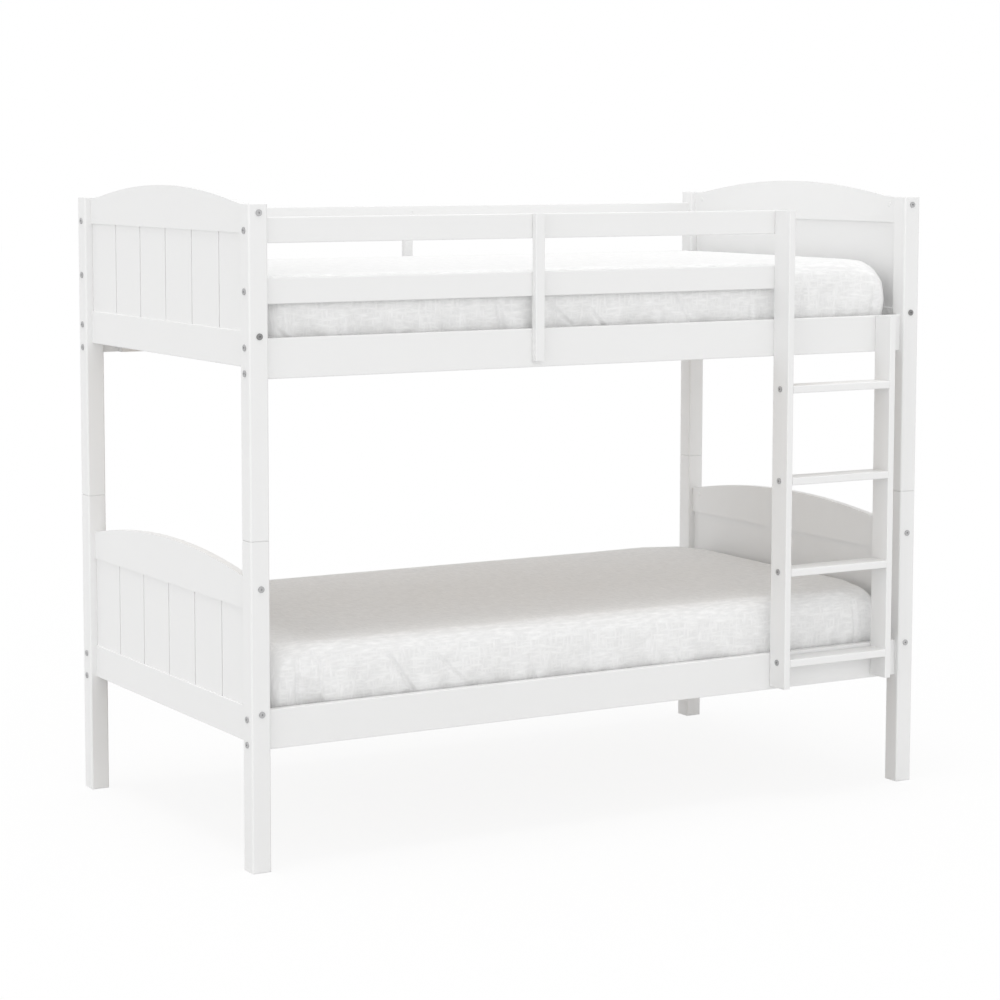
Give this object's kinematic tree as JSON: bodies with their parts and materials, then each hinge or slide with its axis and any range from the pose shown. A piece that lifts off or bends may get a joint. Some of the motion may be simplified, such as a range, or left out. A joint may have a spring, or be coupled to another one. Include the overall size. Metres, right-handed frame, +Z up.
{
  "type": "bunk bed with ladder",
  "caption": "Bunk bed in white-painted wood, with arched beadboard ends, slatted berths, guard boards, a fixed front ladder and a mattress in each berth.",
  "frame": {"origin": "centre of the bounding box on the floor plane, midway between the ladder's front and the back batten's face", "axes": "+X along the bed towards the ladder end, +Y from the ladder side to the back, +Z up"},
  "size_m": [2.037, 1.125, 1.662],
  "materials": {
    "painted_wood": "satin",
    "bare_wood": "matte",
    "dark_steel": "satin",
    "mattress_cover": "matte"
  },
  "bodies": {
    "lower_bunk": {"post_lower_front_left": "painted_wood", "post_lower_front_right": "painted_wood", "post_lower_back_left": "painted_wood", "post_lower_back_right": "painted_wood", "arch_rail_lower_left": "painted_wood", "arch_rail_lower_right": "painted_wood", "panel_lower_left": "painted_wood", "panel_lower_right": "painted_wood", "end_rail_lower_left": "painted_wood", "end_rail_lower_right": "painted_wood", "side_rail_lower_front": "painted_wood", "side_rail_lower_back": "painted_wood", "slat_ledge_lower_front": "painted_wood", "slat_ledge_lower_back": "painted_wood", "slats_lower": "bare_wood", "seam_pins": "dark_steel", "end_bolts_lower": "dark_steel", "side_bolts_lower": "dark_steel", "barrel_nuts_lower": "dark_steel", "dowels_lower": "bare_wood", "slat_screws_lower": "dark_steel"},
    "upper_bunk": {"post_upper_front_left": "painted_wood", "post_upper_front_right": "painted_wood", "post_upper_back_left": "painted_wood", "post_upper_back_right": "painted_wood", "arch_rail_upper_left": "painted_wood", "arch_rail_upper_right": "painted_wood", "panel_upper_left": "painted_wood", "panel_upper_right": "painted_wood", "end_rail_upper_left": "painted_wood", "end_rail_upper_right": "painted_wood", "side_rail_upper_front": "painted_wood", "side_rail_upper_back": "painted_wood", "slat_ledge_upper_front": "painted_wood", "slat_ledge_upper_back": "painted_wood", "slats_upper": "bare_wood", "end_bolts_upper": "dark_steel", "side_bolts_upper": "dark_steel", "barrel_nuts_upper": "dark_steel", "dowels_upper": "bare_wood", "slat_screws_upper": "dark_steel", "guard_front_top": "painted_wood", "guard_front_middle": "painted_wood", "guard_back_top": "painted_wood", "guard_back_middle": "painted_wood", "batten_front": "painted_wood", "batten_back": "painted_wood", "batten_screws": "dark_steel", "guard_bolts": "dark_steel", "ladder_stile_left": "painted_wood", "ladder_stile_right": "painted_wood", "rung_1": "painted_wood", "rung_2": "painted_wood", "rung_3": "painted_wood", "rung_4": "painted_wood", "ladder_bolts": "dark_steel", "ladder_screws": "dark_steel"},
    "lower_mattress": {"mattress_lower": "mattress_cover"},
    "upper_mattress": {"mattress_upper": "mattress_cover"}
  },
  "joints": [
    {"name": "upper_bunk_lift", "type": "slide", "parent": "lower_bunk", "child": "upper_bunk", "axis": [0, 0, 1], "range_m": [0, 0.06]},
    {"name": "lower_mattress_lift", "type": "slide", "parent": "lower_bunk", "child": "lower_mattress", "axis": [0, 0, 1], "range_m": [0, 0.1]},
    {"name": "upper_mattress_lift", "type": "slide", "parent": "upper_bunk", "child": "upper_mattress", "axis": [0, 0, 1], "range_m": [0, 0.36]}
  ]
}
